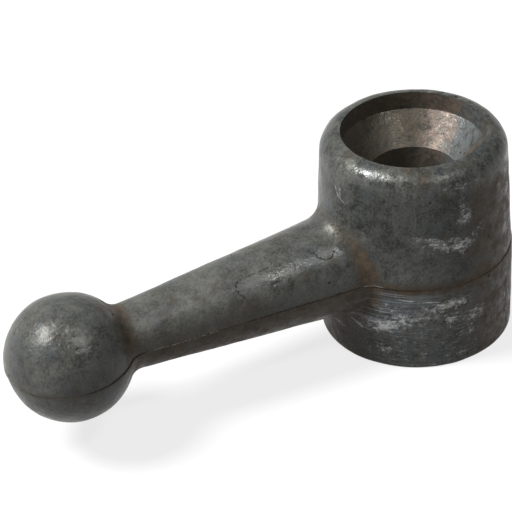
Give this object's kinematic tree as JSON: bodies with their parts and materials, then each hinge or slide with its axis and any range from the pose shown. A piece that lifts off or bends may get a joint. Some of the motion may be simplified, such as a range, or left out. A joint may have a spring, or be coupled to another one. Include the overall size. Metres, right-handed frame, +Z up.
{
  "type": "crank handle",
  "caption": "One-piece cast ball crank handle: a round hub with a through bore and a conical seat, a tapered round arm and a ball grip.",
  "frame": {"origin": "the bore's axis at the hub's flat foot", "axes": "+Z up the bore from the foot to the recess, +X from the hub's axis along the arm to the ball"},
  "size_m": [0.1101, 0.04, 0.045],
  "materials": {
    "raw_iron": "rough as-cast skin, dull grey-green with rust and worn bright patches"
  },
  "bodies": {
    "root": {"crank_handle": "raw_iron"}
  },
  "joints": []
}
